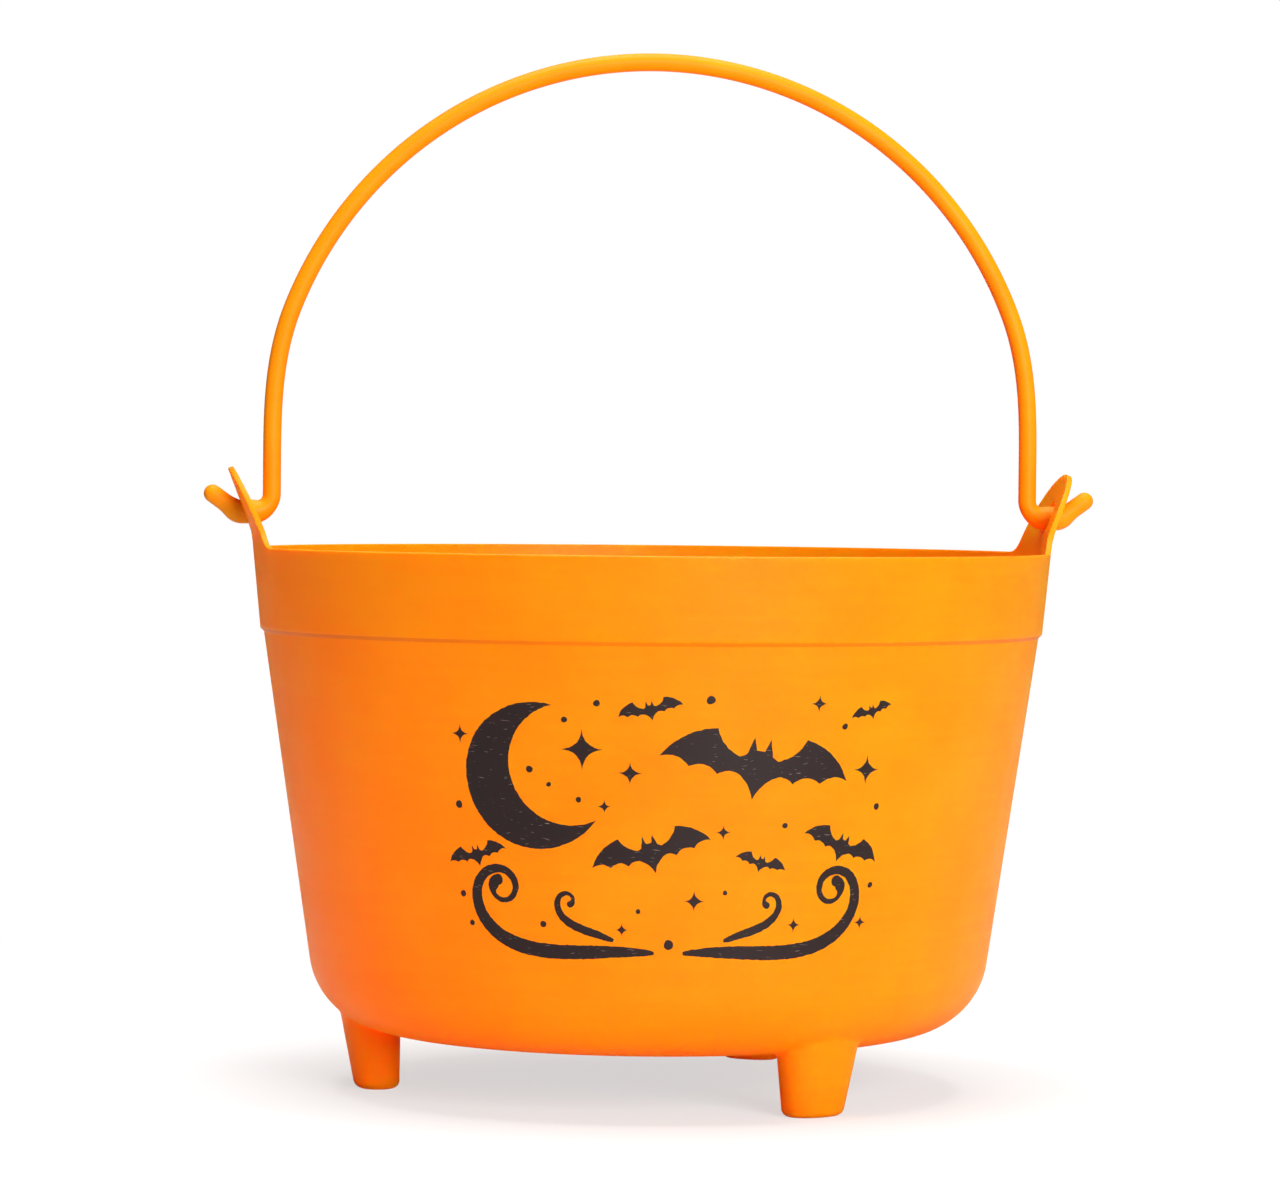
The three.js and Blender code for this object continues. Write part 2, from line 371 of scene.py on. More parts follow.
# %% Write down the bucket's measures
RIM_RADIUS = 100.0
RIM_HEIGHT = 135.0
WALL = 1.4
BAND_HEIGHT = 20.0
BAND_DRAFT = math.radians(5.6)
BAND_STEP = 0.9
BAND_STEP_DROP = 0.9
WALL_DRAFT = math.radians(8.4)
WALL_TOP = RIM_HEIGHT - BAND_HEIGHT - BAND_STEP_DROP
BASE_CORNER = 20.0
FOOT_HEIGHT = 15.2
EAR_RADIUS = 17.8
EAR_CENTRE_RISE = 1.9
EAR_STRAIGHT = 2.5
EAR_BEND = 10.0
EAR_LEAN = math.radians(21)
HOLE_RADIUS = 3.7
PIVOT_RISE = 8.9
PIVOT_HEIGHT = RIM_HEIGHT + PIVOT_RISE

COLUMNS = 396
BASE_ROWS_FROM = 46.0
ROW_PITCH = 1.25
WALL_ROWS = 9
STEP_SUPPORT = 0.3
BAND_ROWS = 28


def band_radius(rise):
    return RIM_RADIUS + rise * math.tan(BAND_DRAFT)


def wall_radius(height):
    return band_radius(-BAND_HEIGHT) - BAND_STEP - (WALL_TOP - height) * math.tan(WALL_DRAFT)


CORNER_TOP = FOOT_HEIGHT + BASE_CORNER * (1 - math.sin(WALL_DRAFT))
CORNER_CENTRE = wall_radius(CORNER_TOP) - BASE_CORNER * math.cos(WALL_DRAFT)
BEND_X = band_radius(EAR_STRAIGHT) + EAR_BEND * math.cos(BAND_DRAFT)
BEND_Z = EAR_STRAIGHT - EAR_BEND * math.sin(BAND_DRAFT)


def base_height(radius):
    """Height of the base's outer face, which is flat and then rounds up into the wall."""
    if radius <= CORNER_CENTRE:
        return FOOT_HEIGHT
    return FOOT_HEIGHT + BASE_CORNER - math.sqrt(max(BASE_CORNER ** 2 - (radius - CORNER_CENTRE) ** 2, 0))


def face_radius(rise):
    """Radius of the face that band and ear share: straight, bent outwards, and leaning."""
    lean_from = BEND_Z + EAR_BEND * math.sin(EAR_LEAN)
    if rise <= EAR_STRAIGHT:
        return band_radius(rise)
    if rise <= lean_from:
        return BEND_X - math.sqrt(EAR_BEND ** 2 - (rise - BEND_Z) ** 2)
    return BEND_X - EAR_BEND * math.cos(EAR_LEAN) + (rise - lean_from) * math.tan(EAR_LEAN)


print("corner centre", round(CORNER_CENTRE, 2), "wall at its top", round(wall_radius(WALL_TOP), 2))


# %% Draw the profile and spin it
def bucket_profile():
    """Points of the outside from the base to the rim, and the row where the band begins."""
    points = []
    flat_rows = round((CORNER_CENTRE - BASE_ROWS_FROM) / ROW_PITCH)
    for i in range(flat_rows):
        points.append((BASE_ROWS_FROM + (CORNER_CENTRE - BASE_ROWS_FROM) * i / flat_rows, FOOT_HEIGHT))
    sweep = math.pi / 2 - WALL_DRAFT
    corner_rows = round(BASE_CORNER * sweep / ROW_PITCH)
    for i in range(corner_rows + 1):
        angle = -math.pi / 2 + sweep * i / corner_rows
        points.append((
            CORNER_CENTRE + BASE_CORNER * math.cos(angle),
            FOOT_HEIGHT + BASE_CORNER + BASE_CORNER * math.sin(angle),
        ))
    step_foot = WALL_TOP - STEP_SUPPORT
    for i in range(1, WALL_ROWS + 1):
        height = CORNER_TOP + (step_foot - CORNER_TOP) * i / WALL_ROWS
        points.append((wall_radius(height), height))
    for share in (0.0, 0.2, 1.0):
        height = WALL_TOP + share * BAND_STEP_DROP
        inner, outer = wall_radius(height), band_radius(height - RIM_HEIGHT)
        points.append((inner + share * (outer - inner), height))
    band_row = len(points) - 1
    band_foot = points[-1][1]
    for i in range(1, BAND_ROWS + 1):
        height = band_foot + (RIM_HEIGHT - band_foot) * i / BAND_ROWS
        points.append((band_radius(height - RIM_HEIGHT), height))
    return points, band_row


def spin_bucket():
    """The spun outside, and its vertices by column and row."""
    points, band_row = bucket_profile()
    bm = bmesh.new()
    row_layer = bm.verts.layers.int.new("row")
    verts = [bm.verts.new((radius, 0, height)) for radius, height in points]
    for row, vert in enumerate(verts):
        vert[row_layer] = row
    edges = [bm.edges.new(pair) for pair in zip(verts, verts[1:])]
    bmesh.ops.spin(
        bm, geom=verts + edges, cent=(0, 0, 0), axis=(0, 0, 1), angle=2 * math.pi, steps=COLUMNS,
        use_merge=True,
    )
    grid = {}
    for vert in bm.verts:
        column = round(math.atan2(vert.co.y, vert.co.x) / (2 * math.pi) * COLUMNS) % COLUMNS
        grid[column, vert[row_layer]] = vert
    return bm, grid, points, band_row


def paint_crease_shade(bm):
    """Gives the step's faces the bucket's third material, a deeper orange that is painted shade."""
    for face in bm.faces:
        if WALL_TOP < face.calc_center_median().z < WALL_TOP + BAND_STEP_DROP:
            face.material_index = PAINTED_SHADE_SLOT


bucket_bm, bucket_grid, bucket_rows, band_row = spin_bucket()
# The step's faces take the painted shade of the crease.
paint_crease_shade(bucket_bm)
print("spun", len(bucket_bm.verts), "vertices in", len(bucket_rows), "rows; the band begins in row", band_row)

# %% [markdown]
# ## The ears
# The ears are the band carried on upwards: a round tab with a fillet at each side, which bends
# outwards a little above the rim. Extruding the rim would crowd its vertices at the fillets' ends,
# so the rows of the band are drawn up instead, as clay is pulled on a wheel. The topmost row
# follows the tab's outline in even steps and the rows below share out the way to it.

# %% Pull the ears up out of the band
EAR_COLUMNS = 16
EAR_MIDDLES = ((1, 0), (-1, COLUMNS // 2))
EAR_FOOT = RIM_RADIUS * math.sin(2 * math.pi * EAR_COLUMNS / COLUMNS)
EAR_FILLET = (EAR_FOOT ** 2 - EAR_RADIUS ** 2 + EAR_CENTRE_RISE ** 2) / (2 * (EAR_RADIUS + EAR_CENTRE_RISE))


def ear_outline(share):
    """A point of the ear's outline, as its way sideways and its rise, for a share from -1 to 1."""
    turn = math.atan2(EAR_FILLET - EAR_CENTRE_RISE, EAR_FOOT)
    fillet_run = EAR_FILLET * (math.pi / 2 - turn)
    round_run = EAR_RADIUS * (math.pi / 2 - turn)
    run = abs(share) * (fillet_run + round_run)
    if run <= round_run:
        angle = math.pi / 2 - run / EAR_RADIUS
        across, rise = EAR_RADIUS * math.cos(angle), EAR_CENTRE_RISE + EAR_RADIUS * math.sin(angle)
    else:
        angle = math.pi + turn + (run - round_run) / EAR_FILLET
        across, rise = EAR_FOOT + EAR_FILLET * math.cos(angle), EAR_FILLET + EAR_FILLET * math.sin(angle)
    return math.copysign(across, share), rise


def on_face(side, across, rise):
    """A point of the outer face by its way sideways and its rise above the rim."""
    radius = face_radius(rise)
    return Vector((side * math.sqrt(radius ** 2 - across ** 2), across, RIM_HEIGHT + rise))


def pull_ears(grid, points, band_row):
    """Moves the rows above the step. Returns where each vertex of the ears lies on their flat face."""
    last_row = len(points) - 1
    foot_radius, foot_height = points[band_row]
    flat = {}
    for side, middle in EAR_MIDDLES:
        for offset in range(-EAR_COLUMNS, EAR_COLUMNS + 1):
            column = (middle + offset) % COLUMNS
            angle = 2 * math.pi * offset / COLUMNS
            low = Vector((foot_radius * math.sin(angle), foot_height - RIM_HEIGHT))
            high = Vector(ear_outline(offset / EAR_COLUMNS))
            for row in range(band_row, last_row + 1):
                across, rise = low.lerp(high, (row - band_row) / (last_row - band_row))
                flat[side, offset, row] = Vector((across, rise))
                grid[column, row].co = on_face(side, side * across, rise)
    return flat


ear_flat = pull_ears(bucket_grid, bucket_rows, band_row)
EAR_TOP = RIM_HEIGHT + EAR_CENTRE_RISE + EAR_RADIUS
print("ear fillet", round(EAR_FILLET, 2), "mm, ear top", round(EAR_TOP, 2), "mm")

# %% [markdown]
# ## Openings in a grid of squares
# Both the ears' holes and the feet need an opening with a smooth edge in a mesh of squares. A
# Boolean would leave slivers there, which show up in a satin gloss. So a block of squares is
# taken out, its edge is drawn into the wanted outline, and the rings of vertices round it follow
# less and less.

# %% Open a block of squares and round its edge
def block_edge(half_columns, half_rows):
    """Steps round a block's edge, in order, from the middle of its right side."""
    right = [(half_columns, i) for i in range(0, half_rows)]
    top = [(i, half_rows) for i in range(half_columns, -half_columns, -1)]
    left = [(-half_columns, i) for i in range(half_rows, -half_rows, -1)]
    bottom = [(i, -half_rows) for i in range(-half_columns, half_columns)]
    return right + top + left + bottom + [(half_columns, i) for i in range(-half_rows, 0)]


def round_block(bm, block, flat, outline, half_columns, half_rows, reach):
    """Deletes a block. Returns the new places of the vertices round it, and its edge's vertices."""
    edge = block_edge(half_columns, half_rows)
    moves = {step: outline(i / len(edge)) - flat[step] for i, step in enumerate(edge)}
    moved = {}
    for step in block:
        away = max(abs(step[0]) - half_columns, abs(step[1]) - half_rows)
        if 0 <= away < reach:
            nearest = (
                max(-half_columns, min(half_columns, step[0])),
                max(-half_rows, min(half_rows, step[1])),
            )
            ease = away / reach
            moved[step] = flat[step] + moves[nearest] * (1 - ease * ease * (3 - 2 * ease))
    bm.verts.index_update()
    inside = {
        block[column, row].index
        for column in range(-half_columns, half_columns + 1)
        for row in range(-half_rows, half_rows + 1)
    }
    gone = [face for face in bm.faces if all(vert.index in inside for vert in face.verts)]
    bmesh.ops.delete(bm, geom=gone, context="FACES")
    return moved, [block[step] for step in edge]


def ring_edges(bm, ring):
    return [bm.edges.get((a, b)) for a, b in zip(ring, ring[1:] + ring[:1])]


# %% Make the ears' holes
HOLE_HALF_COLUMNS = 2
HOLE_HALF_ROWS = 3
HOLE_REACH = 4


def hole_outline(share):
    angle = 2 * math.pi * share
    return Vector((HOLE_RADIUS * math.cos(angle), PIVOT_RISE + HOLE_RADIUS * math.sin(angle)))


def make_ear_holes(bm, grid, points, band_row):
    last_row = len(points) - 1
    for side, middle in EAR_MIDDLES:
        middle_row = min(
            range(band_row, last_row + 1), key=lambda row: abs(ear_flat[side, 0, row].y - PIVOT_RISE),
        )
        block, flat = {}, {}
        columns_out, rows_out = HOLE_HALF_COLUMNS + HOLE_REACH, HOLE_HALF_ROWS + HOLE_REACH
        for columns in range(-columns_out, columns_out + 1):
            for rows in range(-rows_out, min(rows_out, last_row - middle_row - 1) + 1):
                block[columns, rows] = grid[(middle + columns) % COLUMNS, middle_row + rows]
                flat[columns, rows] = ear_flat[side, columns, middle_row + rows]
        moved, _ = round_block(bm, block, flat, hole_outline, HOLE_HALF_COLUMNS, HOLE_HALF_ROWS, HOLE_REACH)
        for step, spot in moved.items():
            block[step].co = on_face(side, side * spot.x, spot.y)


def round_off_holes(bm):
    """Gives the holes' edges twice as many vertices. This comes last, as it renews all vertices."""
    edges = [
        edge for edge in bm.edges if edge.is_boundary
        and all(math.hypot(vert.co.y, vert.co.z - PIVOT_HEIGHT) < 1.1 * HOLE_RADIUS for vert in edge.verts)
    ]
    fine = bmesh.ops.subdivide_edges(bm, edges=edges, cuts=1)
    for vert in (part for part in fine["geom_inner"] if isinstance(part, bmesh.types.BMVert)):
        spot = Vector((vert.co.y, vert.co.z - PIVOT_HEIGHT)).normalized() * HOLE_RADIUS
        vert.co = on_face(math.copysign(1, vert.co.x), spot.x, PIVOT_RISE + spot.y)
    return len(edges)


make_ear_holes(bucket_bm, bucket_grid, bucket_rows, band_row)
print("faces with both holes open:", len(bucket_bm.faces))

# %% [markdown]
# ## The feet
# Each foot is a hollow post with an oval section, moulded with the bowl. It narrows downwards,
# more on its outer side, so that it can leave the mould, and a small fillet leads into
# it from the base. The opening in the base takes the oval's outline, and its edge is then
# extruded down ring by ring: through the fillet, along the post and round the sole.

# %% Grow the feet out of the base
FOOT_INNER_REACH = 62.4
FOOT_DEPTH = 11.2
FOOT_HALF_WIDTH = 7.8
FOOT_OUTER_DRAFT = math.radians(11.2)
FOOT_INNER_DRAFT = math.radians(0.5)
FOOT_SIDE_DRAFT = math.radians(9.3)
FOOT_ROUNDNESS = 2.3
FOOT_FILLET = 1.1
SOLE_ROUND = 1.7
FOOT_TURNS = (180, 300, 60)
FOOT_BLOCK_RADIUS = 69.4
FOOT_HALF_COLUMNS = 9
FOOT_HALF_ROWS = 6
FOOT_REACH = 5


def blunt(value):
    return math.copysign(abs(value) ** (2 / FOOT_ROUNDNESS), value)


def foot_point(share, height, inset=0.0):
    """A point of the post's face, as its way outwards from the axis and its way sideways."""
    angle = 2 * math.pi * share
    inner = FOOT_INNER_REACH - height * math.tan(FOOT_INNER_DRAFT) + inset
    outer = FOOT_INNER_REACH + FOOT_DEPTH + height * math.tan(FOOT_OUTER_DRAFT) - inset
    half_width = FOOT_HALF_WIDTH + height * math.tan(FOOT_SIDE_DRAFT) - inset
    return Vector((
        (inner + outer) / 2 + (outer - inner) / 2 * blunt(math.sin(angle)),
        half_width * blunt(math.cos(angle)),
    ))


def foot_meets_base(share, inset=0.0):
    """Where the post's face meets the bowl. The height there is found by going back and forth."""
    height = FOOT_HEIGHT
    for _ in range(12):
        spot = foot_point(share, height, inset)
        height = base_height(spot.length)
    return Vector((spot.x, spot.y, height))


def foot_rings():
    """The rings of a foot from the bowl to the sole, each a function of the share round the oval."""
    def fillet(share, along):
        start, corner = foot_meets_base(share, -FOOT_FILLET), foot_meets_base(share)
        low = corner.z - FOOT_FILLET
        end = foot_point(share, low).to_3d() + Vector((0, 0, low))
        return start.lerp(corner, along).lerp(corner.lerp(end, along), along)

    def post(share, along):
        top = foot_meets_base(share).z - FOOT_FILLET
        height = top + (SOLE_ROUND - top) * along
        return foot_point(share, height).to_3d() + Vector((0, 0, height))

    def sole(share, along):
        angle = math.pi / 2 * along
        height = SOLE_ROUND * (1 - math.sin(angle))
        spot = foot_point(share, height, SOLE_ROUND * (1 - math.cos(angle)))
        return spot.to_3d() + Vector((0, 0, height))

    rings = [(fillet, i / 5) for i in range(1, 6)] + [(post, i / 5) for i in range(1, 6)]
    return rings + [(sole, i / 6) for i in range(1, 7)]


def foot_outline(share):
    spot = foot_meets_base(share, -FOOT_FILLET)
    return Vector((spot.y, spot.x))


def grow_feet(bm, grid, points):
    middle_row = min(range(len(points)), key=lambda row: abs(points[row][0] - FOOT_BLOCK_RADIUS))
    for turn in FOOT_TURNS:
        middle = round(turn / 360 * COLUMNS)
        direction = math.radians(turn)
        outwards = Vector((math.cos(direction), math.sin(direction), 0))
        sideways = Vector((-math.sin(direction), math.cos(direction), 0))
        block, flat = {}, {}
        for columns in range(-FOOT_HALF_COLUMNS - FOOT_REACH, FOOT_HALF_COLUMNS + FOOT_REACH + 1):
            for rows in range(-FOOT_HALF_ROWS - FOOT_REACH, FOOT_HALF_ROWS + FOOT_REACH + 1):
                vert = grid[(middle + columns) % COLUMNS, middle_row + rows]
                block[columns, rows] = vert
                flat[columns, rows] = Vector((vert.co.dot(sideways), vert.co.dot(outwards)))

        moved, ring = round_block(
            bm, block, flat, foot_outline, FOOT_HALF_COLUMNS, FOOT_HALF_ROWS, FOOT_REACH,
        )
        for step, spot in moved.items():
            block[step].co = sideways * spot.x + outwards * spot.y + Vector((0, 0, base_height(spot.length)))
        for place, along in foot_rings():
            grown = bmesh.ops.extrude_edge_only(bm, edges=ring_edges(bm, ring))["geom"]
            new = {tuple(vert.co): vert for vert in grown if isinstance(vert, bmesh.types.BMVert)}
            ring = [new[tuple(vert.co)] for vert in ring]
            for i, vert in enumerate(ring):
                spot = place(i / len(ring), along)
                vert.co = outwards * spot.x + sideways * spot.y + Vector((0, 0, spot.z))
        bmesh.ops.contextual_create(bm, geom=ring_edges(bm, ring))


grow_feet(bucket_bm, bucket_grid, bucket_rows)
print("lowest point", round(min(vert.co.z for vert in bucket_bm.verts), 4), "mm")

# %% [markdown]
# ## The underside and the wall's thickness
# The plastic enters the mould in the middle of the base, and such mouldings have a shallow round
# dish there that keeps the gate's stump clear of the table. It is made of a few rings that a
# bridge joins to the spun part. A Solidify modifier then gives the whole skin its wall inwards,
# which makes the hollow feet and the ears' thickness too. The cut edges that it adds take the
# plastic without the glow. A Bevel modifier takes the sharpness off the rim and the holes.

# %% Close the base and give the bucket its wall
EDGE_ROUND = 0.42
GATE_RADIUS = 9.0
GATE_SEGMENTS = COLUMNS // 6
GATE_DISH = ((8.4, 0.06), (7.8, 0.24), (7.2, 0.42), (6.6, 0.48), (3.0, 0.48))
SHARP_ANGLE = math.radians(40)
BEVEL_ANGLE = math.radians(62)


def close_base(bm, grid):
    outer = [grid[column, 0] for column in range(COLUMNS)]
    middle = Matrix.Translation((0, 0, FOOT_HEIGHT))
    made = bmesh.ops.create_circle(bm, segments=GATE_SEGMENTS, radius=GATE_RADIUS, matrix=middle)
    circle = [edge for edge in bm.edges if all(vert in set(made["verts"]) for vert in edge.verts)]
    bmesh.ops.bridge_loops(bm, edges=ring_edges(bm, outer) + circle)
    for radius, rise in GATE_DISH:
        grown = bmesh.ops.extrude_edge_only(bm, edges=circle)["geom"]
        verts = [part for part in grown if isinstance(part, bmesh.types.BMVert)]
        for vert in verts:
            vert.co = vert.co.to_2d().normalized().to_3d() * radius + Vector((0, 0, FOOT_HEIGHT + rise))
        circle = [edge for edge in bm.edges if all(vert in set(verts) for vert in edge.verts)]
    bmesh.ops.contextual_create(bm, geom=circle)


def finish_piece(name, bm, body, material):
    """Turns a mesh in millimetres into a piece in metres that moves with its body."""
    bmesh.ops.scale(bm, vec=(MM, MM, MM), verts=bm.verts)
    mesh = bpy.data.meshes.new(name)
    bm.to_mesh(mesh)
    bm.free()
    mesh.materials.append(material)
    mesh.shade_smooth()
    piece = bpy.data.objects.new(name, mesh)
    bpy.context.scene.collection.objects.link(piece)
    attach(piece, body)
    return piece


def point_outwards(bm, sample):
    """Makes all faces agree, and turns them over if the sample face looks at the axis."""
    bmesh.ops.recalc_face_normals(bm, faces=bm.faces)
    middle = sample.calc_center_median()
    if sample.normal.dot(Vector((middle.x, middle.y, 0))) < 0:
        bmesh.ops.reverse_faces(bm, faces=bm.faces)


close_base(bucket_bm, bucket_grid)
point_outwards(bucket_bm, bucket_grid[30, band_row - 9].link_faces[0])
print("edges round the two holes, before rounding off:", round_off_holes(bucket_bm))
open_edges = sum(edge.is_boundary for edge in bucket_bm.edges)
bucket = finish_piece("bucket_body", bucket_bm, "bucket", thin_plastic)
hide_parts("bucket")
bucket.data.set_sharp_from_angle(angle=SHARP_ANGLE)
skin = bucket.modifiers.new("wall", "SOLIDIFY")
skin.thickness = WALL * MM
skin.offset = -1
skin.use_even_offset = True
skin.use_quality_normals = True
bucket.data.materials.append(thick_plastic)
# The third material paints the shade in the crease under the band.
bucket.data.materials.append(painted_shade_plastic)
skin.material_offset_rim = 1
rounding = bucket.modifiers.new("rounded_edges", "BEVEL")
rounding.width = EDGE_ROUND * MM
rounding.segments = 3
rounding.limit_method = "ANGLE"
rounding.angle_limit = BEVEL_ANGLE
print("open edges of the skin:", open_edges)

# %% [markdown]
# ## The bail handle
# The bail is one rod, moulded lying flat. From the top of the hoop it comes down on each side,
# runs straight for a little, bends out through the ear and turns up again in a short tail
# that keeps it there. It is thicker where it turns in the ear. A bevelled curve could be as
# thick as the rod, but an extruded ring is easier to swell and to round off at the tips,
# so a circle is extruded from one tip to the other.

# %% Lay out the bail's centre line
ROD_RADIUS = 2.25
BAIL_RISE = 113.6
BAIL_HALF_SPAN = 97.3
BAIL_LEG = 15.2
LEG_DRAW_IN = 36.0
LEG_BEND = 4.5
TAIL_BEND = 3.5
TAIL_SLOPE = math.radians(36)
TAIL_LENGTH = 6.4
PIVOT_RADIUS = 3.0
PIVOT_FADE = 5.0
LEG_CLEARANCE = 3.1
TAIL_CLEARANCE = 0.6
HOOP_STATIONS = 80
LEG_STATIONS = 8
BEND_STATIONS = 14
TAIL_STATIONS = 8

EAR_OUTSIDE = face_radius(PIVOT_RISE)
EAR_INSIDE = EAR_OUTSIDE - WALL / math.cos(EAR_LEAN)
LEG_REACH = EAR_INSIDE - LEG_CLEARANCE - ROD_RADIUS
TAIL_START = EAR_OUTSIDE + TAIL_CLEARANCE


def smooth_step(value, low, high):
    share = min(max((value - low) / (high - low), 0), 1)
    return share * share * (3 - 2 * share)


def bail_side():
    """Stations of the centre line on the +X side, from the hoop's top to the tail's tip."""
    stations = []
    for i in range(HOOP_STATIONS):
        angle = math.pi / 2 * (1 - i / HOOP_STATIONS)
        rise = (BAIL_RISE - BAIL_LEG) * math.sin(angle)
        drawn_in = (BAIL_HALF_SPAN - LEG_REACH) * (1 - smooth_step(rise, 0, LEG_DRAW_IN))
        stations.append((BAIL_HALF_SPAN * math.cos(angle) - drawn_in, PIVOT_HEIGHT + BAIL_LEG + rise))
    leg_run = BAIL_LEG - LEG_BEND
    stations += [
        (LEG_REACH, PIVOT_HEIGHT + BAIL_LEG - leg_run * i / LEG_STATIONS) for i in range(LEG_STATIONS)
    ]
    for i in range(BEND_STATIONS + 1):
        angle = math.pi + math.pi / 2 * i / BEND_STATIONS
        stations.append((
            LEG_REACH + LEG_BEND + LEG_BEND * math.cos(angle),
            PIVOT_HEIGHT + LEG_BEND + LEG_BEND * math.sin(angle),
        ))
    through = TAIL_START - LEG_REACH - LEG_BEND
    stations += [(LEG_REACH + LEG_BEND + through * i / 4, PIVOT_HEIGHT) for i in range(1, 4)]
    for i in range(TAIL_STATIONS + 1):
        angle = -math.pi / 2 + TAIL_SLOPE * i / TAIL_STATIONS
        stations.append((
            TAIL_START + TAIL_BEND * math.cos(angle),
            PIVOT_HEIGHT + TAIL_BEND + TAIL_BEND * math.sin(angle),
        ))
    last = Vector(stations[-1])
    along = Vector((math.cos(TAIL_SLOPE), math.sin(TAIL_SLOPE)))
    stations += [
        tuple(last + along * TAIL_LENGTH * i / TAIL_STATIONS) for i in range(1, TAIL_STATIONS + 1)
    ]
    return [Vector(station) for station in stations]


def rod_radius(spot):
    """The rod's radius, which swells round the middle of the ear's hole."""
    middle = (EAR_OUTSIDE + EAR_INSIDE) / 2
    away = math.hypot(abs(spot.x) - middle, spot.y - PIVOT_HEIGHT)
    return ROD_RADIUS + (PIVOT_RADIUS - ROD_RADIUS) * (1 - smooth_step(away, WALL, WALL + PIVOT_FADE))


right_side = bail_side()
left_side = [Vector((-spot.x, spot.y)) for spot in right_side[1:]]
centre_line = left_side[::-1] + right_side
print("centre line of", len(centre_line), "stations, leg reach", round(LEG_REACH, 2), "mm")

# %% Extrude the rod along it
ROD_SIDES = 24
TIP_RINGS = 6
TIP_SWEEP = math.radians(84)


def bail_rings(line):
    """Each ring's middle, direction and radius. Both tips are rounded off with smaller rings."""
    rings = []
    for i, spot in enumerate(line):
        before, after = line[max(i - 1, 0)], line[min(i + 1, len(line) - 1)]
        rings.append((spot, (after - before).normalized(), rod_radius(spot)))
    for end in (0, -1):
        spot, along, radius = rings[end]
        outwards = -along if end == 0 else along
        caps = []
        for i in range(1, TIP_RINGS + 1):
            angle = TIP_SWEEP * i / TIP_RINGS
            caps.append((spot + outwards * radius * math.sin(angle), along, radius * math.cos(angle)))
        rings = caps[::-1] + rings if end == 0 else rings + caps
    return rings


def extrude_rod(line):
    bm = bmesh.new()
    ring = bmesh.ops.create_circle(bm, segments=ROD_SIDES, radius=1.0)["verts"]
    edges = list(bm.edges)
    rings = bail_rings(line)

    def place(ring, station):
        spot, along, radius = station
        across = Vector((-along.y, 0, along.x))
        for i, vert in enumerate(ring):
            angle = 2 * math.pi * i / ROD_SIDES
            vert.co = Vector((spot.x, 0, spot.y)) + radius * (
                across * math.cos(angle) + Vector((0, 1, 0)) * math.sin(angle))

    place(ring, rings[0])
    bmesh.ops.contextual_create(bm, geom=edges)
    for station in rings[1:]:
        grown = bmesh.ops.extrude_edge_only(bm, edges=edges)["geom"]
        new = {tuple(part.co): part for part in grown if isinstance(part, bmesh.types.BMVert)}
        ring = [new[tuple(vert.co)] for vert in ring]
        place(ring, station)
        edges = ring_edges(bm, ring)
    bmesh.ops.contextual_create(bm, geom=edges)
    bmesh.ops.recalc_face_normals(bm, faces=bm.faces)
    return bm


bail_bm = extrude_rod(centre_line)
print("rod volume", round(bail_bm.calc_volume() / 1000, 2), "cm3")
bail = finish_piece("bail_rod", bail_bm, "bail", thick_plastic)
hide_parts("bail_handle")

# %% [markdown]
# ## Drawing the print
# The front carries an ornament in one dark colour: a crescent moon, a flight of bats, stars and
# dots, and four curled strokes of a pen. It could be a pattern in the wall's material, but ink
# has an edge and a thickness that catch the light, so it is a piece of its own. Each motif is
# first drawn flat, in millimetres from the middle of the print, as one closed outline. Most
# outlines are made of bows, which are shallow curves from corner to corner.

# %% Draw bows, stars, dots and the crescent
DRAWING_STEP = 0.45
STAR_WAIST = 0.4


def bow(start, end, sag):
    """Points from start towards end, without end. A positive sag bulges to the left of the way."""
    chord = end - start
    steps = max(round(chord.length / DRAWING_STEP), 1)
    left = Vector((-chord.y, chord.x)).normalized()
    shares = [i / steps for i in range(steps)]
    return [start + chord * share + left * sag * 4 * share * (1 - share) for share in shares]


def closed_by_bows(corners, sags):
    """An outline with a bow from each corner to the next."""
    return [point for a, b, sag in zip(corners, corners[1:] + corners[:1], sags) for point in bow(a, b, sag)]


def arc(middle, radius, start, end):
    """Points of an arc in equal steps, without its end."""
    steps = max(round(abs(end - start) * radius / DRAWING_STEP), 10)
    angles = [start + (end - start) * i / steps for i in range(steps)]
    return [Vector(middle) + Vector((math.cos(angle), math.sin(angle))) * radius for angle in angles]


def dot(size):
    return arc((0, 0), size, 0, 2 * math.pi)


def star(size):
    """A star with four tips, whose sides are bowed in to its waist."""
    tips = [Vector((0, 1)), Vector((-1, 0)), Vector((0, -1)), Vector((1, 0))]
    return closed_by_bows([tip * size for tip in tips], [size * (math.sqrt(0.5) - STAR_WAIST)] * 4)


def crescent(radius, bite, shift):
    """A disc with a smaller disc bitten out of it on its right."""
    meet = (radius ** 2 + shift ** 2 - bite ** 2) / (2 * shift)
    outer, inner = math.acos(meet / radius), math.acos((meet - shift) / bite)
    back = arc((0, 0), radius, outer, 2 * math.pi - outer)
    return back + arc((shift, 0), bite, 2 * math.pi - inner, inner)


# %% Draw the bats
# From the middle of a bat's head round its right wing to its tail: each corner's place across and
# up, for a wing of length 1, and the sag of the bow that follows it.
BAT_SIDE = (
    (0.0, 0.165, 0.0), (0.045, 0.17, 0.0), (0.085, 0.3, 0.0), (0.135, 0.12, 0.0), (0.2, 0.085, -0.045),
    (0.47, 0.345, 0.075), (1.0, -0.02, -0.055), (0.7, -0.085, -0.06), (0.4, -0.125, -0.05),
    (0.15, -0.12, -0.02),
)
BAT_TAIL = -0.34


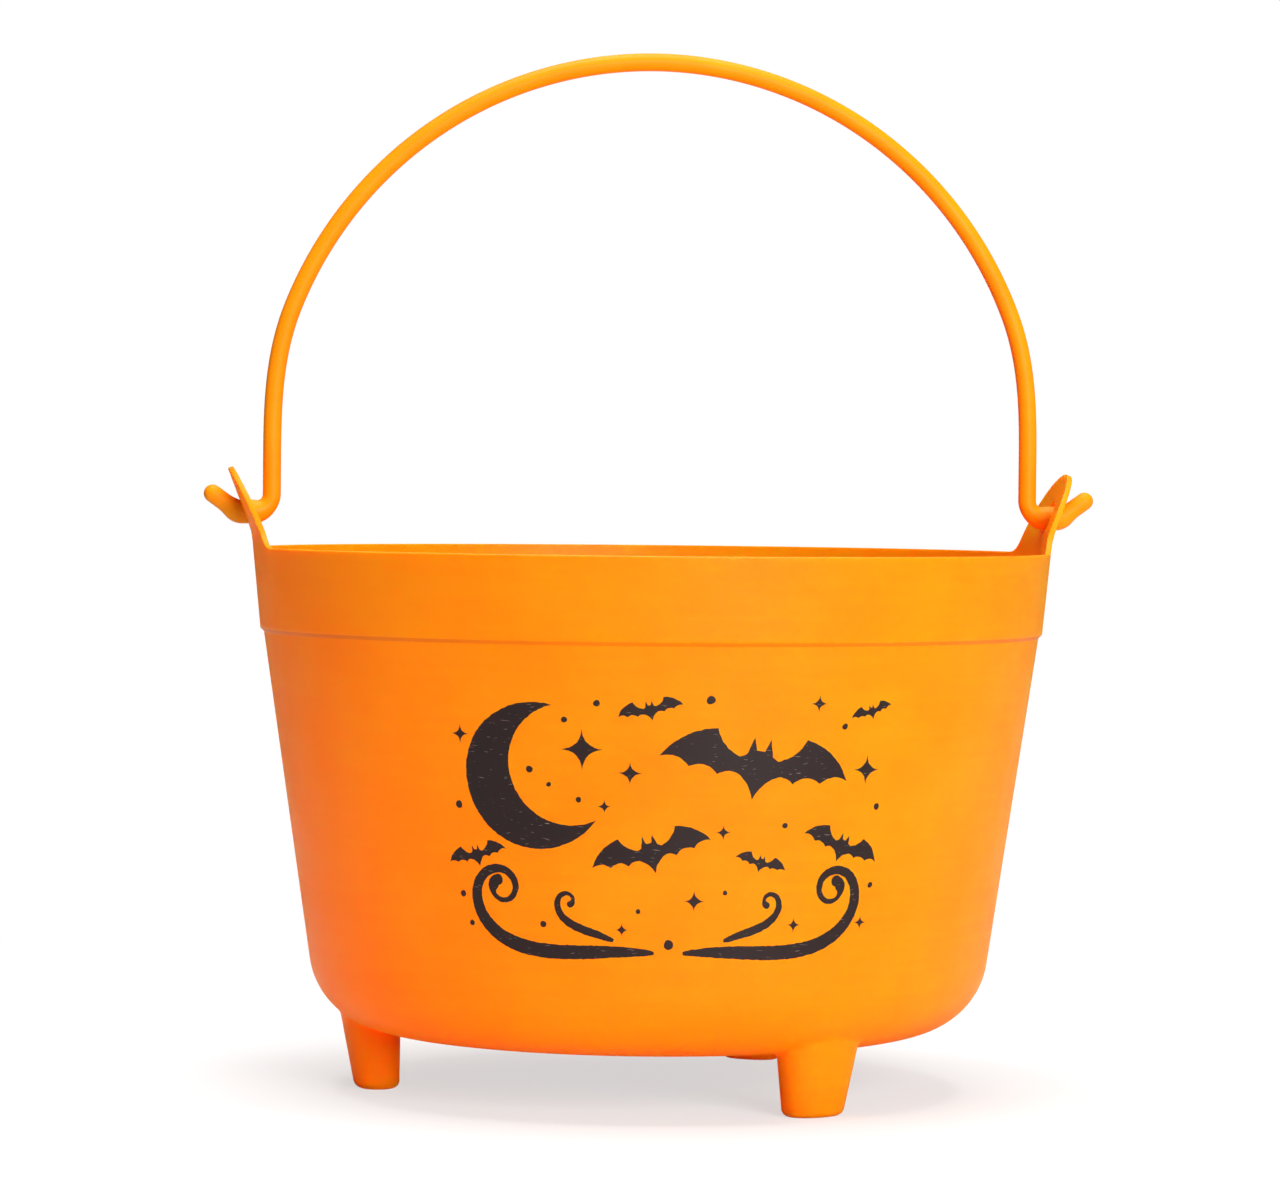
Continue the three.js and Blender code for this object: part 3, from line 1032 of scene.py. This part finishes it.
def bat(wing):
    """A bat with spread wings. Its left half mirrors its right one."""
    right = [Vector((across, up)) * wing for across, up, _ in BAT_SIDE]
    sags = [sag * wing for _, _, sag in BAT_SIDE]
    left = [Vector((-corner.x, corner.y)) for corner in right[:0:-1]]
    return closed_by_bows(right + [Vector((0, BAT_TAIL * wing))] + left, sags + sags[::-1])


# %% Draw the scrolls
SCROLL_THIN = 0.35
SCROLL_DROP = 0.78


def scroll(start, heading, length, turns, sway, weight):
    """A pen stroke that curls more and more, and ends in a round drop. Its weight is half its width."""
    steps = round(length / DRAWING_STEP)
    spot, angle = Vector(start), math.radians(heading)
    left, right = [], []
    for i in range(steps + 1):
        share = i / steps
        half = SCROLL_THIN + (weight - SCROLL_THIN) * math.sin(math.pi * share ** 0.65)
        half += (SCROLL_DROP * weight - SCROLL_THIN) * smooth_step(share, 0.94, 0.985)
        across = Vector((-math.sin(angle), math.cos(angle))) * half
        left.append(spot + across)
        right.append(spot - across)
        spot = spot + Vector((math.cos(angle), math.sin(angle))) * (length / steps)
        angle += 2 * math.pi * (4 * turns * share ** 3 + sway * math.cos(2 * math.pi * share)) / steps
    middle, tip = (left[-1] + right[-1]) / 2, left[-1] - right[-1]
    first = math.atan2(tip.y, tip.x)
    return left + arc(middle, tip.length / 2, first, first - math.pi)[1:] + right[::-1]


def mirrored(outline):
    return [Vector((-point.x, point.y)) for point in outline[::-1]]


# %% Lay out the ornament
# Each bat, star and dot: its size, and its place across and up from the middle of the print. The
# bats' turns are in degrees.
BATS = (
    (23, 20, 14, -8), (14.5, -4.5, -6.5, 14), (11, 43, -5.5, -20), (8, -47.5, -8, 14),
    (7.5, -5, 27.5, 12), (6.5, 22, -9, -15), (5.5, 48, 27, 16),
)
STARS = (
    (5.0, -20.5, 18), (2.8, -9.5, 12.5), (3.6, 48, 13), (2.2, -50, 21), (1.8, 31.5, -24), (2.0, 34, 29),
    (1.8, 12.5, -1.5), (1.6, -11.5, -25), (1.6, -15.5, 4.5), (2.6, 6, -18), (1.7, 50.5, -24),
)
DOTS = (
    (0.9, -51.5, 4), (0.8, -17, 29), (1.0, 8.5, 30), (0.7, 41, 23.5), (0.8, 52, 4), (0.8, -31, -24),
    (0.7, -21.5, 6), (1.2, 0, -28.5), (0.7, 27.5, 0), (0.8, -52, -17.5), (0.7, -24.5, 25),
    (0.7, 52.5, -15), (0.8, -33, 13), (0.6, -28.5, 9.5), (0.6, 13.5, -16), (0.7, -50, -24.5),
    (0.6, -7.5, -20.5),
)
RIGHT_SCROLL = scroll((3.5, -30.5), 3, 80, 1.46, -0.1, 1.75)
RIGHT_SPRIG = scroll((13.5, -27.6), 20, 25, 0.95, -0.05, 1.0)


def placed(outline, across, up, turn=0.0):
    spin = Matrix.Rotation(math.radians(turn), 2)
    return [spin @ point + Vector((across, up)) for point in outline]


MOTIFS = [placed(crescent(17.5, 14.6, 8.5), -31.5, 11.5, 20)]
MOTIFS += [placed(bat(wing), across, up, turn) for wing, across, up, turn in BATS]
MOTIFS += [placed(star(size), across, up) for size, across, up in STARS]
MOTIFS += [placed(dot(size), across, up) for size, across, up in DOTS]
MOTIFS += [RIGHT_SCROLL, mirrored(RIGHT_SCROLL), RIGHT_SPRIG, mirrored(RIGHT_SPRIG)]
print("motifs", len(MOTIFS), "with", sum(len(outline) for outline in MOTIFS), "points")

# %% [markdown]
# ## Screen-printing it on the wall
# The drawing now becomes ink. Each outline is filled with a face, which is cut every two
# millimetres so that it can bend, made a film and wrapped round the cone of the wall. A screen's
# mesh never leaves a quite sharp edge on satin plastic, so the outlines are roughened a little
# first. A real film is about 0.02 mm thick. This one is thicker, so that it stays clear of the
# facets under it, and its back lies just inside the wall.

# %% Fill, cut and wrap the outlines
PRINT_HEIGHT = 72.0
PRINT_TURN = math.radians(-92.8)
INK_PROUD = 0.05
INK_THICKNESS = 0.08
CUT_PITCH = 2.0
EDGE_GRAIN = 0.8
EDGE_WANDER = 0.14
noise.seed_set(31)


def roughened(outline):
    """Moves each point a little. The seed set above makes the noise the same in every run."""
    return [point + EDGE_WANDER * noise.noise_vector(point.to_3d() / EDGE_GRAIN).to_2d() for point in outline]


def wrap_on_wall(point):
    """A place on the wall for a point of the flat film. Its third measure is its way out of the wall."""
    height = PRINT_HEIGHT + point.y * math.cos(WALL_DRAFT)
    radius = wall_radius(height) + point.z
    angle = PRINT_TURN + point.x / wall_radius(PRINT_HEIGHT)
    return Vector((radius * math.cos(angle), radius * math.sin(angle), height))


def print_film(motifs):
    bm = bmesh.new()
    for outline in motifs:
        verts = [bm.verts.new(point.to_3d()) for point in roughened(outline)]
        edges = [bm.edges.new(pair) for pair in zip(verts, verts[1:] + verts[:1])]
        bmesh.ops.contextual_create(bm, geom=edges)
    bmesh.ops.triangulate(bm, faces=bm.faces)
    bm.normal_update()
    bmesh.ops.reverse_faces(bm, faces=[face for face in bm.faces if face.normal.z < 0])
    reach = math.ceil(max(abs(vert.co.x) for vert in bm.verts) / CUT_PITCH)
    for i in range(-reach, reach + 1):
        bmesh.ops.bisect_plane(
            bm, geom=bm.verts[:] + bm.edges[:] + bm.faces[:], dist=1e-4,
            plane_co=(i * CUT_PITCH, 0, 0), plane_no=(1, 0, 0),
        )
    face_area = sum(face.calc_area() for face in bm.faces)
    bmesh.ops.solidify(bm, geom=bm.faces[:], thickness=INK_THICKNESS)
    bmesh.ops.translate(bm, vec=(0, 0, INK_PROUD), verts=bm.verts)
    for vert in bm.verts:
        vert.co = wrap_on_wall(vert.co)
    return bm, face_area


film_bm, print_area = print_film(MOTIFS)
film_volume = film_bm.calc_volume(signed=True)
print("printed", round(print_area), "mm2 with", len(film_bm.faces), "faces and", round(film_volume, 1), "mm3")

# %% [markdown]
# ## Printing ink
# The ink is a near-black brown with a satin face, a little mottled where it lies thinner.
# Solvent ink on polypropylene scuffs easily: fine pale hairlines, a millimetre or two long and a
# tenth wide, show where pails rubbed against each other in the box. Their pale grey is partly the
# scuffed ink and partly a painted glint, light caught in the scratches. A noise that is stretched
# along the hairlines, and cut off high, leaves only a few of them.

# %% Mix the ink
INK_BROWN = "#1C0E10"
INK_THIN = "#281512"
# The scuffs' pale grey is the scuffed ink together with a painted glint in the scratches.
SCUFF_AND_GLINT_GREY = "#A08C86"
INK_IOR = 1.5
INK_GLOSS = 0.3
INK_SATIN = 0.42
MOTTLE_SIZE = 3.5
SCUFF_GLINTS = ((6, 2.6, 0.11), (-9, 1.7, 0.1))


def screen_printing_ink():
    """Each scuff's numbers are its slant in degrees, and its length and width."""
    material, tree, output = new_material("screen_printing_ink")
    place = add_node(tree, "ShaderNodeTexCoord")
    mottle = add_node(
        tree, "ShaderNodeTexNoise", values={"Scale": 1 / (MOTTLE_SIZE * MM), "Detail": 3.0},
        links={"Vector": place.outputs["Object"]},
    )
    colour = add_node(
        tree, "ShaderNodeMix", {"data_type": "RGBA"}, {6: linear(INK_BROWN), 7: linear(INK_THIN)},
        {0: mottle.outputs["Fac"]},
    )
    # Each scuff line mixes in a pale grey that paints a glint as well as the scuffed ink.
    for slant, length, width in SCUFF_GLINTS:
        rubbed = add_node(
            tree, "ShaderNodeMapping", {"vector_type": "TEXTURE"},
            {"Scale": (length * MM, length * MM, width * MM), "Rotation": (0, math.radians(slant), 0)},
            {"Vector": place.outputs["Object"]},
        )
        streak = add_node(
            tree, "ShaderNodeTexNoise", values={"Scale": 1.0, "Detail": 0.0},
            links={"Vector": rubbed.outputs[0]},
        )
        hairline = add_node(
            tree, "ShaderNodeMapRange", values={"From Min": 0.815, "From Max": 0.85, "To Max": 0.9},
            links={"Value": streak.outputs["Fac"]},
        )
        colour = add_node(
            tree, "ShaderNodeMix", {"data_type": "RGBA"}, {7: linear(SCUFF_AND_GLINT_GREY)},
            {0: hairline.outputs["Result"], 6: colour.outputs[2]},
        )
    bump = add_node(
        tree, "ShaderNodeBump", values={"Strength": 0.3, "Distance": RELIEF_DEPTH * MM},
        links={"Height": mottle.outputs["Fac"]},
    )
    ink = add_node(
        tree, "ShaderNodeBsdfPrincipled",
        values={"IOR": INK_IOR, "Metallic": 0.0, "Roughness": INK_SATIN, "Specular IOR Level": INK_GLOSS},
        links={"Base Color": colour.outputs[2], "Normal": bump.outputs["Normal"]},
    )
    tree.links.new(ink.outputs[0], output.inputs["Surface"])
    return material


ink = screen_printing_ink()
film = finish_piece("printed_ornament", film_bm, "bucket", ink)
film.data.set_sharp_from_angle(angle=SHARP_ANGLE)
print("ink film of", len(film.data.polygons), "faces")
